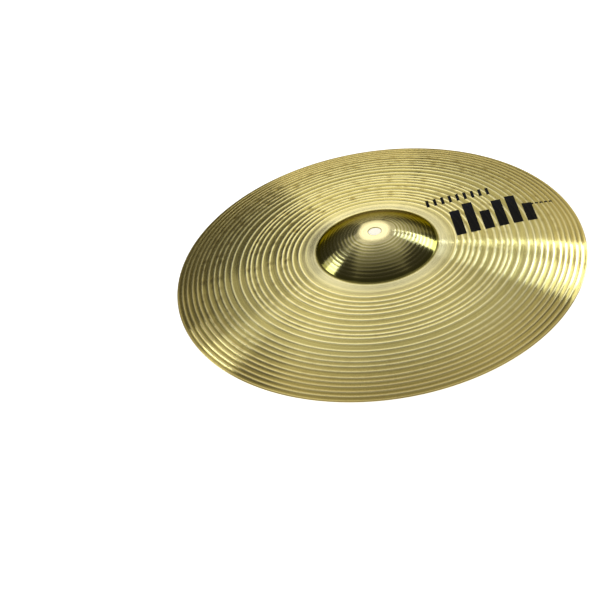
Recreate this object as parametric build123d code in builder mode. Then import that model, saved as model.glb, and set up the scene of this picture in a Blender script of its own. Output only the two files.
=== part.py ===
from build123d import *
from itertools import pairwise
from math import asin, cos, radians, sin
import os

# A 16 inch crash cymbal: one disc of brass sheet, pressed into a bell and a bow, hammered,
# lathed on both faces and punched with a centre hole. It has no other piece.
# Sizes are in millimetres and slopes in degrees. +Z is up, the Z axis runs through the
# centre hole, and the rim's lowest edge lies on the XY plane.

# Driving dimensions
rim_radius = 203.2  # half of 16 inches
hole_diameter = 12.7  # half-inch hole for the sleeve of a cymbal tilter
sheet = 1.0  # thickness of the brass

# The section is a flat seat and then arcs that run into each other. Each arc ends at a
# distance from the axis, with a downward slope there.
seat_radius = 12.5  # the flat that the felts press on
crown_width = 7.5
crown_slope = 13
bell_radius = 58
bell_slope = 33.5
foot_width = 2.5  # the small hollow arc between the bell and the bow
bow_slope = 6.2
bow_bend_radius = 130  # where the bow begins to fall away faster
bow_bend_slope = 7.8
rim_slope = 16

# Lathed grooves in the top face, each a shallow hollow between two crests
bell_grooves = 10
bell_groove_depth = 0.08
bell_plain_width = 3  # the smooth band at the bottom of the bell
bow_plain_width = 5  # the smooth band from the foot of the bell to the first crest
bow_groove_depth = 0.15
# Widths from the bell outwards. Together they fill the bow, whatever its width.
bow_groove_widths = (6, 6.5, 6.5, 5.5, 5, 5.5, 7.5, 7.5, 6, 5.5, 4.5, 7,
                     8.5, 6.5, 6, 5.5, 6, 6.5, 5, 5, 5.5, 5, 5)

hole_edge_round = 0.2

# Stations of the section that follow from these
hole_radius = hole_diameter / 2
crown_radius = seat_radius + crown_width
foot_radius = bell_radius + foot_width
half_sheet = sheet / 2
rim_angle = radians(rim_slope)
edge_radius = rim_radius - half_sheet * (1 - sin(rim_angle))  # where the rounded edge begins

stations = [
    (seat_radius, 0),
    (crown_radius, crown_slope),
    (bell_radius, bell_slope),
    (foot_radius, bow_slope),
    (bow_bend_radius, bow_bend_slope),
    (edge_radius, rim_slope),
]


def fall_and_slope(distance):
    """How far the smooth top face has fallen below the seat, and its slope in radians."""
    fall = 0
    slope = 0
    for (start, start_slope), (end, end_slope) in pairwise(stations):
        if distance <= start:
            break
        turn = sin(radians(end_slope)) - sin(radians(start_slope))
        arc_radius = (end - start) / turn
        slope = asin(sin(radians(start_slope)) + (min(distance, end) - start) / arc_radius)
        fall += arc_radius * (cos(radians(start_slope)) - cos(slope))
    return fall, slope


# The edge is a half round, and its lowest point is at zero.
seat_height = fall_and_slope(edge_radius)[0] + half_sheet * (1 + cos(rim_angle))


def section_point(distance, depth=0):
    """Point of the section under the top face's point at this distance, square to the face."""
    fall, slope = fall_and_slope(distance)
    return (distance - depth * sin(slope), seat_height - fall - depth * cos(slope))


def section_arc(start, end, depth=0, hollow=0):
    """Arc of the top face, or of a face at a depth below it, sunk in its middle by hollow."""
    middle = (start + end) / 2
    return ThreePointArc(
        section_point(start, depth),
        section_point(middle, depth + hollow),
        section_point(end, depth),
    )


def spread(start, end, widths):
    """Distances of the crests between grooves with these relative widths."""
    unit = (end - start) / sum(widths)
    return [start + unit * sum(widths[:count]) for count in range(len(widths) + 1)]


bell_plain_start = bell_radius - bell_plain_width
bell_crests = spread(crown_radius, bell_plain_start, [1] * bell_grooves)
bow_start = foot_radius + bow_plain_width
bow_crests = spread(bow_start, edge_radius, bow_groove_widths)

edge_middle, edge_height = section_point(edge_radius, half_sheet)
edge_tip = (edge_middle + half_sheet * cos(rim_angle), edge_height - half_sheet * sin(rim_angle))

with BuildPart() as crash_cymbal:
    with BuildSketch(Plane.XZ) as section:
        with BuildLine():
            # Top face, from the hole outwards
            Line(section_point(hole_radius), section_point(seat_radius))
            section_arc(seat_radius, crown_radius)
            for inner, outer in pairwise(bell_crests):
                section_arc(inner, outer, hollow=bell_groove_depth)
            section_arc(bell_plain_start, bell_radius)
            section_arc(bell_radius, foot_radius)
            section_arc(foot_radius, bow_start)
            for inner, outer in pairwise(bow_crests):
                section_arc(inner, outer, hollow=bow_groove_depth)
            # Rounded edge
            ThreePointArc(section_point(edge_radius), edge_tip, section_point(edge_radius, sheet))
            # Underside, from the edge back to the hole
            for (inner, _), (outer, _) in pairwise(stations):
                section_arc(inner, outer, depth=sheet)
            Line(section_point(seat_radius, sheet), section_point(hole_radius, sheet))
            Line(section_point(hole_radius, sheet), section_point(hole_radius))
        make_face()
        hole_corners = section.vertices().group_by(Axis.X)[0]
        fillet(hole_corners, hole_edge_round)
    revolve(axis=Axis.Z)

crash_cymbal.part.label = "crash_cymbal"

os.makedirs("parts", exist_ok=True)
export_step(crash_cymbal.part, "parts/crash_cymbal.step")

print(f"bell top {seat_height:.2f} mm, bow {seat_height - fall_and_slope(foot_radius)[0]:.2f} mm")
print(f"volume {crash_cymbal.part.volume / 1000:.1f} cm3")
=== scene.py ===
from itertools import pairwise
from math import asin, cos, exp, hypot, pi, radians, sin, tan

import bpy
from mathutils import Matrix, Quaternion, Vector


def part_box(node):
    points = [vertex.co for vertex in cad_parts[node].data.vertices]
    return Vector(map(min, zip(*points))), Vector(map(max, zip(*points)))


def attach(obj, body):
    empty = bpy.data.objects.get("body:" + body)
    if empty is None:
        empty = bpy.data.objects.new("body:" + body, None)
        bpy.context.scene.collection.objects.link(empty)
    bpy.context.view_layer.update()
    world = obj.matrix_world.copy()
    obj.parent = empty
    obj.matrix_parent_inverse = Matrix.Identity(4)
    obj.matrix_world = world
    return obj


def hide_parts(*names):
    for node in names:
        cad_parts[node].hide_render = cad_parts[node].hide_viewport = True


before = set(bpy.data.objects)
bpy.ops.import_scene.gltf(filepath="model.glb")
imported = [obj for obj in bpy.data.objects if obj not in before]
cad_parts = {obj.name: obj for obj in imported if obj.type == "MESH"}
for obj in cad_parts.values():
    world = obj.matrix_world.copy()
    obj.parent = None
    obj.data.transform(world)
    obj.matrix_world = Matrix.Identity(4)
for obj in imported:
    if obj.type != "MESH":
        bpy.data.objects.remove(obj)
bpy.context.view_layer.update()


# --- Cymbal ---------------------------------------------------------------------------------
# One disc of thin brass sheet: a press forms its bell and bow, a hammering machine tensions them
# with rings of shallow dents, and a lathe grooves the top face. A plain pattern of slanted bars,
# which says nothing, is screen-printed on the bow in near-black ink.

MM = 0.001
low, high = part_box("crash_cymbal")
rim_radius = (high.x - low.x) / 2
seat_height = high.z
sheet = 1.0 * MM
hole_radius = 6.35 * MM
hole_edge_round = 0.2 * MM

# Outline: a flat seat, and then arcs. Each station is where an arc ends, and its slope there.
seat_radius = 12.5 * MM
crown_radius = 20 * MM
bell_radius = 58 * MM
foot_radius = 60.5 * MM
bow_bend_radius = 130 * MM
rim_slope = radians(16)
edge_radius = rim_radius - sheet / 2 * (1 - sin(rim_slope))
stations = [
    (seat_radius, 0),
    (crown_radius, radians(13)),
    (bell_radius, radians(33.5)),
    (foot_radius, radians(6.2)),
    (bow_bend_radius, radians(7.8)),
    (edge_radius, rim_slope),
]


def fall_and_slope(distance):
    """How far the smooth top face has fallen below the seat, and its slope."""
    fall = 0
    slope = 0
    for (start, start_slope), (end, end_slope) in pairwise(stations):
        if distance <= start:
            break
        arc_radius = (end - start) / (sin(end_slope) - sin(start_slope))
        slope = asin(sin(start_slope) + (min(distance, end) - start) / arc_radius)
        fall += arc_radius * (cos(start_slope) - cos(slope))
    return fall, slope


# Lathing: even grooves on the bell, and on the bow uneven ones of these relative widths.
bell_groove_count = 10
bell_groove_end = 55 * MM
bell_crest_rise = 0.15 * MM
bell_crest_width = 1.1 * MM
bow_groove_start = 65.5 * MM
bow_groove_widths = (6, 6.5, 6.5, 5.5, 5, 5.5, 7.5, 7.5, 6, 5.5, 4.5, 7,
                     8.5, 6.5, 6, 5.5, 6, 6.5, 5, 5, 5.5, 5, 5)
bow_crest_rise = 0.22 * MM
bow_crest_width = 1.05 * MM


def spread(start, end, widths):
    """Distances of the crests between grooves with these relative widths."""
    unit = (end - start) / sum(widths)
    return [start + unit * sum(widths[:count]) for count in range(len(widths) + 1)]


bell_crests = spread(crown_radius, bell_groove_end, [1] * bell_groove_count)
bow_crests = spread(bow_groove_start, edge_radius, bow_groove_widths)


def crest_mask(distance, crests, width):
    """1 on a crest, and near 0 in the groove between two."""
    nearest = min(abs(distance - crest) for crest in crests)
    return exp(-((nearest / width) ** 2))


# Brightness: how much of the crests' pale colour a place has, from 0 to 1. Some of it is painted
# light: the crests' paleness is partly their finish and partly a painted highlight, and painted
# shade darkens the seat towards its edge and the bell's crests outwards.
seat_painted_shade = 0.6  # from the hole to the edge of the seat
seat_painted_shade_power = 4
bell_crest_pale = 0.95  # at the crown
bell_crest_painted_shade = 0.5  # from the crown to the last groove
faint_crest_pale = 0.35  # on the bow's first crests
faint_crests_end = 75 * MM
plain_fade = 14 * MM  # the plain pale band round the bell darkens over this length


def groove_and_pale(distance):
    """How deep the lathe has cut here, and how pale the brass is, with its painted shade and highlight.
    """
    if distance < crown_radius:
        # Painted shade: the seat darkens from the hole to its edge.
        return 0, 1 - seat_painted_shade * (distance / crown_radius) ** seat_painted_shade_power
    if distance <= bell_groove_end:
        crest = crest_mask(distance, bell_crests, bell_crest_width)
        # Painted shade: the bell's crests darken from the crown outwards.
        outwards = (distance - crown_radius) / (bell_groove_end - crown_radius)
        return bell_crest_rise * (1 - crest), crest * (bell_crest_pale - bell_crest_painted_shade * outwards)
    if distance <= foot_radius:
        return 0, 0
    if distance < bow_groove_start:
        return 0, 1
    crest = crest_mask(distance, bow_crests, bow_crest_width)
    if distance < faint_crests_end:
        crest *= faint_crest_pale
    return bow_crest_rise * (1 - crest), max(crest, 1 - (distance - bow_groove_start) / plain_fade)


# Hammering: rings of dents, as (distance from the axis, number of dents).
hammer_rings = (
    (91.5 * MM, 29), (96 * MM, 29), (108 * MM, 43), (122.5 * MM, 41), (129 * MM, 41),
    (159.5 * MM, 55), (166 * MM, 55), (177 * MM, 63),
)
dent_depth = 0.15 * MM
dent_length = 2.4 * MM  # along the radius, from its middle to where it fades
dent_width = 2.9 * MM  # round the ring
dent_ends = 2.5  # no dent is felt further from its ring than this many lengths
dent_wander = 0.9 * MM  # how far a blow strays from its ring
dent_drift = (0.22, 0.12)  # how far it strays along the ring, in steps, by two waves
dent_strength = (0.75, 0.25)  # mean and swing
# The dent mask also sets the dents' painted shade, so that painted shade is strongest on this side, away
# from the camera.
deep_middle = radians(105)  # the dents are deepest on this side, and lathed almost away opposite
deep_reach = radians(100)
shallow_strength = 0.2
# A dent's loss of pale colour is painted shade.
dent_paleness_painted_shade = 0.6  # how much of the crest's pale colour a dent takes away


def sway(number, pace, shift):
    """-1 to 1, uneven from one blow to the next, but the same each time."""
    return sin(number * pace + shift)


def dent_mask(distance, angle):
    """1 in the middle of a hammer dent. The blows are a little uneven, as a machine's are."""
    mask = 0
    side = exp(-(((angle - deep_middle) / deep_reach) ** 4))
    deep = shallow_strength + (1 - shallow_strength) * side
    for ring, (ring_radius, count) in enumerate(hammer_rings):
        away = distance - ring_radius
        if abs(away) > dent_ends * dent_length:
            continue
        step = 2 * pi / count
        number = round(angle / step)
        drift = dent_drift[0] * sway(number, 2.4, ring) + dent_drift[1] * sway(number, 5.1, 2 * ring)
        along = (angle - (number + drift) * step) * distance
        across = away - dent_wander * sway(number, 1.7, 3 * ring)
        strength = (dent_strength[0] + dent_strength[1] * sway(number, 3.3, ring)) * deep
        mask += strength * exp(-((across / dent_length) ** 2) - (along / dent_width) ** 2)
    return min(mask, 1)


# Mesh: rings of vertices from the hole over the top face, round the rim and back underneath.
fine_steps = 396  # vertices round a ring of the bow
coarse_steps = 198  # vertices round a ring of the bell and of the underside
vertices = []
pale_values = []
dent_values = []
rings = []


def add_ring(distance, height, steps, pale=0, dents=False):
    """Adds one ring of vertices. A dent sinks the top face."""
    rings.append((len(vertices), steps))
    for step in range(steps):
        angle = 2 * pi * step / steps
        dent = dent_mask(distance, angle) if dents else 0
        vertices.append((distance * cos(angle), distance * sin(angle), height - dent_depth * dent))
        # A dent takes away pale colour, as painted shade.
        pale_values.append(pale * (1 - dent_paleness_painted_shade * dent))
        dent_values.append(dent)


def top_ring(distance, steps):
    """One ring of the top face, on its crest, in its groove or in a dent."""
    fall, _ = fall_and_slope(distance)
    groove, pale = groove_and_pale(distance)
    add_ring(distance, seat_height - fall - groove, steps, pale, dents=steps == fine_steps)


def under_ring(distance):
    """One ring of the underside, a sheet's thickness below the top face, square to it."""
    fall, slope = fall_and_slope(distance)
    add_ring(distance - sheet * sin(slope), seat_height - fall - sheet * cos(slope), coarse_steps)


def evenly(start, end, count):
    """Distances from start up to, and without, end."""
    return [start + (end - start) * step / count for step in range(count)]


def close_to(crests, offsets):
    """Distances that lie close together at each crest, with one more in mid-groove."""
    stops = []
    for inner, outer in pairwise(crests):
        stops.append(inner)
        stops += [inner + offset for offset in offsets]
        stops.append((inner + outer) / 2)
        stops += [outer - offset for offset in reversed(offsets)]
    return stops


# Top face, from the hole outwards
hole_corner = hole_radius + hole_edge_round
for turn in (0, 30, 60):
    out = hole_edge_round * (1 - cos(radians(turn)))
    lift = hole_edge_round * (1 - sin(radians(turn)))
    add_ring(hole_radius + out, seat_height - lift, coarse_steps)
top_stops = evenly(hole_corner, crown_radius, 8)
top_stops += close_to(bell_crests, (0.7 * MM,))
top_stops += evenly(bell_groove_end, bell_radius, 3)
top_stops += evenly(bell_radius, foot_radius, 5)
for distance in top_stops:
    top_ring(distance, coarse_steps)
bow_stops = evenly(foot_radius, bow_groove_start, 3)
bow_stops += close_to(bow_crests, (0.55 * MM, 1.1 * MM, 1.8 * MM))
for distance in bow_stops:
    top_ring(distance, fine_steps)

# Rounded edge
edge_fall, _ = fall_and_slope(edge_radius)
edge_middle = edge_radius - sheet / 2 * sin(rim_slope)
edge_height = seat_height - edge_fall - sheet / 2 * cos(rim_slope)
edge_turns = 6
for count in range(edge_turns + 1):
    turn = pi / 2 - rim_slope - pi * count / edge_turns
    steps = fine_steps if count < edge_turns / 2 else coarse_steps
    add_ring(edge_middle + sheet / 2 * cos(turn), edge_height + sheet / 2 * sin(turn), steps)

# Underside, from the edge back to the hole
under_stops = evenly(hole_corner, crown_radius, 4)
under_stops += evenly(crown_radius, bell_radius, 12)
under_stops += evenly(bell_radius, foot_radius, 4)
under_stops += evenly(foot_radius, edge_radius, 36)
for distance in reversed(under_stops):
    under_ring(distance)
for turn in (30, 60, 90):
    out = hole_edge_round * (1 - sin(radians(turn)))
    lift = hole_edge_round * (1 - cos(radians(turn)))
    add_ring(hole_radius + out, seat_height - sheet + lift, coarse_steps)


def bridge(ring, following):
    """Faces between two neighbouring rings, one of which may have twice as many vertices."""
    first, steps = ring
    second, next_steps = following
    faces = []
    for step in range(min(steps, next_steps)):
        after = (step + 1) % min(steps, next_steps)
        double = 2 * step
        double_end = (2 * step + 2) % max(steps, next_steps)
        if steps == next_steps:
            faces.append((first + step, second + step, second + after, first + after))
        elif steps < next_steps:
            faces.append((first + step, second + double, second + double + 1))
            faces.append((first + step, second + double + 1, second + double_end, first + after))
        else:
            faces.append((first + double, second + step, first + double + 1))
            faces.append((first + double + 1, second + step, second + after, first + double_end))
    return faces


faces = []
for ring, following in pairwise(rings + rings[:1]):
    faces += bridge(ring, following)

mesh = bpy.data.meshes.new("cymbal")
mesh.from_pydata(vertices, [], faces)
mesh.polygons.foreach_set("use_smooth", [True] * len(mesh.polygons))
for name, values in (("crest", pale_values), ("dent", dent_values)):
    mesh.attributes.new(name, "FLOAT", "POINT").data.foreach_set("value", values)
mesh.update()
cymbal = bpy.data.objects.new("cymbal", mesh)
bpy.context.scene.collection.objects.link(cymbal)


def feed(links, socket, value):
    """Gives a socket a plain value, or links another socket to it."""
    if isinstance(value, (int, float, tuple)):
        socket.default_value = value
    else:
        links.new(value, socket)


def add_math(nodes, links, operation, *values):
    """One Math node fed by these values or sockets. Returns its result socket."""
    node = nodes.new("ShaderNodeMath")
    node.operation = operation
    for socket, value in zip(node.inputs, values):
        feed(links, socket, value)
    return node.outputs[0]


def add_color_mix(nodes, links, blend, mask, first, second):
    """The first colour where the mask is 0, and the second laid over it where the mask is 1."""
    node = nodes.new("ShaderNodeMix")
    node.data_type = "RGBA"
    node.blend_type = blend
    mask_socket, first_socket, second_socket = node.inputs[0], node.inputs[6], node.inputs[7]
    feed(links, mask_socket, mask)
    feed(links, first_socket, first)
    feed(links, second_socket, second)
    return node.outputs[2]


# Lathed color: brass that is paler on its crests, partly from their finish and partly as a painted
# highlight, and darker and browner in its dents as painted shade, with the fine rings of the tool.
# Lines is the tool's trace, 0 to 1, the same all round each circle.
lathed = bpy.data.node_groups.new("lathed_color", "ShaderNodeTree")
for name, kind in (
    ("Position", "NodeSocketVector"),
    ("Crest", "NodeSocketFloat"),
    ("Dent", "NodeSocketFloat"),
    ("Lines per Metre", "NodeSocketFloat"),
    ("Groove Color", "NodeSocketColor"),
    ("Crest Color", "NodeSocketColor"),
    ("Outer Start", "NodeSocketFloat"),
    ("Outer End", "NodeSocketFloat"),
    ("Outer Color", "NodeSocketColor"),
):
    lathed.interface.new_socket(name, in_out="INPUT", socket_type=kind)
lathed.interface.new_socket("Color", in_out="OUTPUT", socket_type="NodeSocketColor")
lathed.interface.new_socket("Lines", in_out="OUTPUT", socket_type="NodeSocketFloat")
nodes, links = lathed.nodes, lathed.links
given = nodes.new("NodeGroupInput").outputs
result = nodes.new("NodeGroupOutput").inputs
flat = nodes.new("ShaderNodeVectorMath")
flat.operation = "MULTIPLY"
flat.inputs[1].default_value = (1, 1, 0)
links.new(given["Position"], flat.inputs[0])
from_axis = nodes.new("ShaderNodeVectorMath")
from_axis.operation = "LENGTH"
links.new(flat.outputs[0], from_axis.inputs[0])
reach = from_axis.outputs["Value"]
noise = nodes.new("ShaderNodeTexNoise")
noise.noise_dimensions = "1D"
noise.inputs["Scale"].default_value = 1
noise.inputs["Detail"].default_value = 3
noise.inputs["Roughness"].default_value = 0.6
links.new(add_math(nodes, links, "MULTIPLY", reach, given["Lines per Metre"]), noise.inputs["W"])
contrast = nodes.new("ShaderNodeMapRange")
contrast.inputs["From Min"].default_value = 0.3
contrast.inputs["From Max"].default_value = 0.7
links.new(noise.outputs["Fac"], contrast.inputs["Value"])
lines = contrast.outputs["Result"]
outwards = nodes.new("ShaderNodeMapRange")
outwards.interpolation_type = "SMOOTHSTEP"
links.new(reach, outwards.inputs["Value"])
links.new(given["Outer Start"], outwards.inputs["From Min"])
links.new(given["Outer End"], outwards.inputs["From Max"])
line_shade = (0.84, 0.81, 0.74, 1)
# The dents are darkened and browned as painted shade.
dent_painted_shade_tint = (0.66, 0.61, 0.52, 1)
color = add_color_mix(nodes, links, "MIX", given["Crest"], given["Groove Color"], given["Crest Color"])
color = add_color_mix(nodes, links, "MULTIPLY", lines, color, line_shade)
color = add_color_mix(nodes, links, "MULTIPLY", given["Dent"], color, dent_painted_shade_tint)
# Outer Color is multiplied in from Outer Start to Outer End; on the bell it is painted shade.
color = add_color_mix(nodes, links, "MULTIPLY", outwards.outputs["Result"], color, given["Outer Color"])
links.new(color, result["Color"])
links.new(lines, result["Lines"])


def brass_material(name, groove_roughness, crest_roughness, stretch, edge_color, lines_depth, **colors):
    """Brass from the lathe, whose fine rings stretch each reflection across them by this much."""
    brass = bpy.data.materials.new(name)
    brass.use_nodes = True
    nodes, links = brass.node_tree.nodes, brass.node_tree.links
    shader = nodes["Principled BSDF"]
    shader.inputs["Metallic"].default_value = 1
    shader.inputs["Anisotropic"].default_value = stretch
    shader.inputs["Anisotropic Rotation"].default_value = 0.25
    shader.inputs["Specular Tint"].default_value = edge_color
    tangent = nodes.new("ShaderNodeTangent")
    tangent.direction_type = "RADIAL"
    tangent.axis = "Z"
    links.new(tangent.outputs["Tangent"], shader.inputs["Tangent"])
    place = nodes.new("ShaderNodeTexCoord")
    crest = nodes.new("ShaderNodeAttribute")
    crest.attribute_name = "crest"
    dent = nodes.new("ShaderNodeAttribute")
    dent.attribute_name = "dent"
    turned = nodes.new("ShaderNodeGroup")
    turned.node_tree = lathed
    turned.inputs["Lines per Metre"].default_value = 700
    for socket, value in colors.items():
        turned.inputs[socket.replace("_", " ").title()].default_value = value
    links.new(place.outputs["Object"], turned.inputs["Position"])
    links.new(crest.outputs["Fac"], turned.inputs["Crest"])
    links.new(dent.outputs["Fac"], turned.inputs["Dent"])
    links.new(turned.outputs["Color"], shader.inputs["Base Color"])
    rough = nodes.new("ShaderNodeMapRange")
    rough.inputs["To Min"].default_value = groove_roughness
    rough.inputs["To Max"].default_value = crest_roughness
    links.new(crest.outputs["Fac"], rough.inputs["Value"])
    links.new(rough.outputs["Result"], shader.inputs["Roughness"])
    bump = nodes.new("ShaderNodeBump")
    bump.inputs["Strength"].default_value = 1
    bump.inputs["Distance"].default_value = lines_depth
    links.new(turned.outputs["Lines"], bump.inputs["Height"])
    links.new(bump.outputs["Normal"], shader.inputs["Normal"])
    return brass


bow_brass = brass_material(
    "bow_brass",
    groove_roughness=0.135,
    crest_roughness=0.165,
    stretch=1.0,
    edge_color=(0.95, 0.86, 0.55, 1),
    lines_depth=0.01 * MM,
    groove_color=(0.585, 0.505, 0.178, 1),
    crest_color=(0.865, 0.79, 0.435, 1),
    outer_start=140 * MM,
    outer_end=rim_radius,
    outer_color=(1, 0.92, 0.76, 1),
)
bell_brass = brass_material(
    "bell_brass",
    groove_roughness=0.14,
    crest_roughness=0.17,
    stretch=0.8,
    edge_color=(0.47, 0.39, 0.25, 1),
    lines_depth=0.005 * MM,
    groove_color=(0.45, 0.41, 0.12, 1),
    crest_color=(0.84, 0.75, 0.43, 1),
    outer_start=crown_radius,
    outer_end=50 * MM,
    # Painted shade: the bell darkens from the crown outwards.
    outer_color=(0.46, 0.45, 0.40, 1),
)
mesh.materials.append(bow_brass)
mesh.materials.append(bell_brass)
for polygon in mesh.polygons:
    if hypot(polygon.center.x, polygon.center.y) < foot_radius:
        polygon.material_index = 1

# Bars: one row of them. Along and Across are the place in the row. 1 in the ink, 0 beside it.
bars = bpy.data.node_groups.new("bars", "ShaderNodeTree")
for name in ("Along", "Across", "Start", "Foot", "Pitch", "Width", "Count", "Height", "Vary", "Turn"):
    bars.interface.new_socket(name, in_out="INPUT", socket_type="NodeSocketFloat")
bars.interface.new_socket("Ink", in_out="OUTPUT", socket_type="NodeSocketFloat")
nodes, links = bars.nodes, bars.links
given = nodes.new("NodeGroupInput").outputs
result = nodes.new("NodeGroupOutput").inputs
along = add_math(nodes, links, "SUBTRACT", given["Along"], given["Start"])
across = add_math(nodes, links, "SUBTRACT", given["Across"], given["Foot"])
pitches = add_math(nodes, links, "DIVIDE", along, given["Pitch"])
number = add_math(nodes, links, "FLOOR", pitches)
share = add_math(nodes, links, "SUBTRACT", pitches, number)
into_pitch = add_math(nodes, links, "MULTIPLY", share, given["Pitch"])
turn = add_math(nodes, links, "MULTIPLY", number, given["Turn"])
wave = add_math(nodes, links, "SINE", turn)
tallness = add_math(nodes, links, "MULTIPLY_ADD", wave, given["Vary"], 1)
top = add_math(nodes, links, "MULTIPLY", given["Height"], tallness)
ink = add_math(nodes, links, "LESS_THAN", into_pitch, given["Width"])
for test in (
    add_math(nodes, links, "GREATER_THAN", number, -0.5),
    add_math(nodes, links, "LESS_THAN", number, given["Count"]),
    add_math(nodes, links, "GREATER_THAN", across, 0),
    add_math(nodes, links, "LESS_THAN", across, top),
):
    ink = add_math(nodes, links, "MULTIPLY", ink, test)
links.new(ink, result["Ink"])

# Print: three rows in millimetres from its own corner. Count is half above the last bar's number.
print_corner = (78 * MM, -1 * MM, 0)
print_turn = radians(15.5)
print_slant = -0.2
print_rows = (
    dict(Start=1, Foot=0, Pitch=15, Width=10.5, Count=5.5, Height=42, Vary=0.26, Turn=2.2),
    dict(Start=-19, Foot=58, Pitch=8, Width=3.2, Count=8.5, Height=13, Vary=0, Turn=0),
    dict(Start=85, Foot=27, Pitch=5, Width=3.4, Count=4.5, Height=2.6, Vary=0, Turn=0),
)
ink_color = (0.006, 0.008, 0.015, 1)
ink_roughness = 0.45

nodes, links = bow_brass.node_tree.nodes, bow_brass.node_tree.links
shader = nodes["Principled BSDF"]
place = nodes.new("ShaderNodeTexCoord")
from_corner = nodes.new("ShaderNodeMapping")
from_corner.vector_type = "TEXTURE"
from_corner.inputs["Location"].default_value = print_corner
from_corner.inputs["Rotation"].default_value = (0, 0, print_turn)
from_corner.inputs["Scale"].default_value = (MM, MM, MM)
links.new(place.outputs["Object"], from_corner.inputs["Vector"])
parts = nodes.new("ShaderNodeSeparateXYZ")
links.new(from_corner.outputs["Vector"], parts.inputs["Vector"])
slanted = add_math(nodes, links, "MULTIPLY_ADD", parts.outputs["Y"], print_slant, parts.outputs["X"])
geometry = nodes.new("ShaderNodeNewGeometry")
facing = nodes.new("ShaderNodeSeparateXYZ")
links.new(geometry.outputs["True Normal"], facing.inputs["Vector"])
top_face = add_math(nodes, links, "GREATER_THAN", facing.outputs["Z"], 0)
ink = 0
for row in print_rows:
    row_of_bars = nodes.new("ShaderNodeGroup")
    row_of_bars.node_tree = bars
    links.new(slanted, row_of_bars.inputs["Along"])
    links.new(parts.outputs["Y"], row_of_bars.inputs["Across"])
    for name, value in row.items():
        row_of_bars.inputs[name].default_value = value
    ink = add_math(nodes, links, "MAXIMUM", ink, row_of_bars.outputs["Ink"])
ink = add_math(nodes, links, "MULTIPLY", ink, top_face)
bare_color = shader.inputs["Base Color"].links[0].from_socket
links.new(add_color_mix(nodes, links, "MIX", ink, bare_color, ink_color), shader.inputs["Base Color"])
bare_roughness = shader.inputs["Roughness"].links[0].from_socket
printed_roughness = nodes.new("ShaderNodeMix")
feed(links, printed_roughness.inputs[0], ink)
feed(links, printed_roughness.inputs[2], bare_roughness)
feed(links, printed_roughness.inputs[3], ink_roughness)
links.new(printed_roughness.outputs[0], shader.inputs["Roughness"])

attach(cymbal, "root")
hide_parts("crash_cymbal")


# --- Floor ----------------------------------------------------------------------------------
# A plain white table top that the rim rests on. It glows a little, like a translucent sheet lit
# from below, so that it stays white and holds almost no shadow.
floor_reach = 8
floor_corners = [
    (-floor_reach, -floor_reach, 0),
    (floor_reach, -floor_reach, 0),
    (floor_reach, floor_reach, 0),
    (-floor_reach, floor_reach, 0),
]
floor_mesh = bpy.data.meshes.new("floor")
floor_mesh.from_pydata(floor_corners, [], [(0, 1, 2, 3)])
floor = bpy.data.objects.new("floor", floor_mesh)
bpy.context.scene.collection.objects.link(floor)
floor_paint = bpy.data.materials.new("floor_paint")
floor_paint.use_nodes = True
paint = floor_paint.node_tree.nodes["Principled BSDF"].inputs
paint["Base Color"].default_value = (0.85, 0.85, 0.85, 1)
paint["Roughness"].default_value = 0.8
paint["Emission Color"].default_value = (1, 1, 1, 1)
paint["Emission Strength"].default_value = 0.75
floor_mesh.materials.append(floor_paint)


# --- Light ----------------------------------------------------------------------------------
# Softboxes 5 m away on all sides, set where the brass mirrors them: bright keys right and left
# for the fan of light and the patches on the bell, and wide dim ones for the rest of the bow.
lamp_distance = 5


def direction(azimuth, elevation):
    """The way from the cymbal to a place at these angles, in degrees."""
    a, e = radians(azimuth), radians(elevation)
    return Vector((cos(a) * cos(e), sin(a) * cos(e), sin(e)))


def softbox(name, azimuth, elevation, width, height, strength, roll=0, color=(1, 1, 1), glossy=True):
    """A rectangular lamp. Its width and height are the angles it fills, seen from the cymbal."""
    light = bpy.data.lights.new(name, "AREA")
    light.shape = "RECTANGLE"
    light.size = 2 * lamp_distance * tan(radians(width / 2))
    light.size_y = 2 * lamp_distance * tan(radians(height / 2))
    light.energy = strength * pi * light.size * light.size_y
    light.color = color
    lamp = bpy.data.objects.new(name, light)
    way = direction(azimuth, elevation)
    lamp.location = way * lamp_distance
    lamp.rotation_mode = "QUATERNION"
    lamp.rotation_quaternion = way.to_track_quat("Z", "Y") @ Quaternion((0, 0, 1), radians(roll))
    lamp.visible_camera = False
    lamp.visible_glossy = glossy
    bpy.context.scene.collection.objects.link(lamp)


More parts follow.
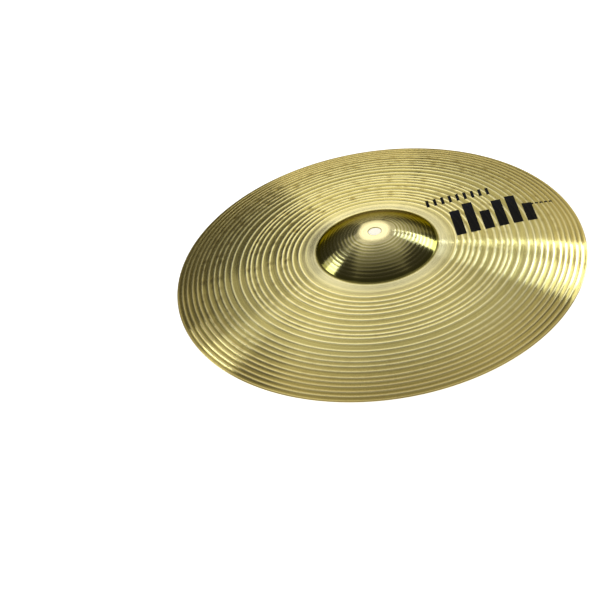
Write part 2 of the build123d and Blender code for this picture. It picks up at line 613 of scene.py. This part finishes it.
softbox("key_right", 55, 40, 13, 8, 2.9, roll=14, color=(0.72, 0.82, 1))
softbox("key_right_low", 43, 25, 25, 15, 10, roll=50, color=(0.72, 0.81, 1))
softbox("strip_right", 65, 33, 20, 0.5, 7, roll=29, color=(0.74, 0.83, 1))
softbox("side_right", 71, 24, 26, 21, 0.6)
softbox("back", 91, 31, 11, 27, 1.35)
softbox("back_low", 92, 10, 13, 9, 0.35)
softbox("key_left", 147, 36, 22, 17, 2.4, roll=52, color=(0.85, 0.90, 1))
softbox("key_left_core", 150, 39, 13, 10, 9, roll=52, color=(0.72, 0.82, 1))
softbox("left_fill", 119, 56, 20, 26, 0.22)
softbox("overhead", 90, 80, 50, 20, 0.3)
softbox("top_band", 80, 58, 44, 20, 0.53)
softbox("wide_band", 90, 42, 46, 18, 0.42)
softbox("front_right", 315, 34, 44, 26, 0.8)
softbox("front_left", 240, 32, 44, 26, 0.7)
softbox("side_left", 188, 24, 26, 26, 0.7)
softbox("floor_fill", 270, 80, 60, 60, 0.3, glossy=False)

# The room: white behind the floor, and dim in the brass
room_in_brass = 0.11
room_behind = 1.0
room = bpy.data.worlds.new("studio")
bpy.context.scene.world = room
room.use_nodes = True
nodes, links = room.node_tree.nodes, room.node_tree.links
backdrop = nodes["Background"]
backdrop.inputs["Color"].default_value = (1, 1, 1, 1)
path = nodes.new("ShaderNodeLightPath")
strength = nodes.new("ShaderNodeMapRange")
strength.inputs["To Min"].default_value = room_in_brass
strength.inputs["To Max"].default_value = room_behind
links.new(path.outputs["Is Camera Ray"], strength.inputs["Value"])
links.new(strength.outputs["Result"], backdrop.inputs["Strength"])


# --- Camera ---------------------------------------------------------------------------------
# A long lens, 2 m away and above the front edge, held with a slight roll, so that the cymbal
# stands a little higher on its right.
camera_distance = 2.0
camera_elevation = 36.87
camera_roll = radians(-10.72)
aim = Vector((-0.0822, -0.0345, 0))
lens = bpy.data.cameras.new("camera")
lens.sensor_width = 36
lens.lens = 121.5
camera = bpy.data.objects.new("camera", lens)
bpy.context.scene.collection.objects.link(camera)
camera.location = direction(270, camera_elevation) * camera_distance
look = aim - camera.location
camera.rotation_mode = "QUATERNION"
camera.rotation_quaternion = look.to_track_quat("-Z", "Y") @ Quaternion((0, 0, 1), camera_roll)
bpy.context.scene.camera = camera
bpy.context.scene.view_settings.view_transform = "Standard"
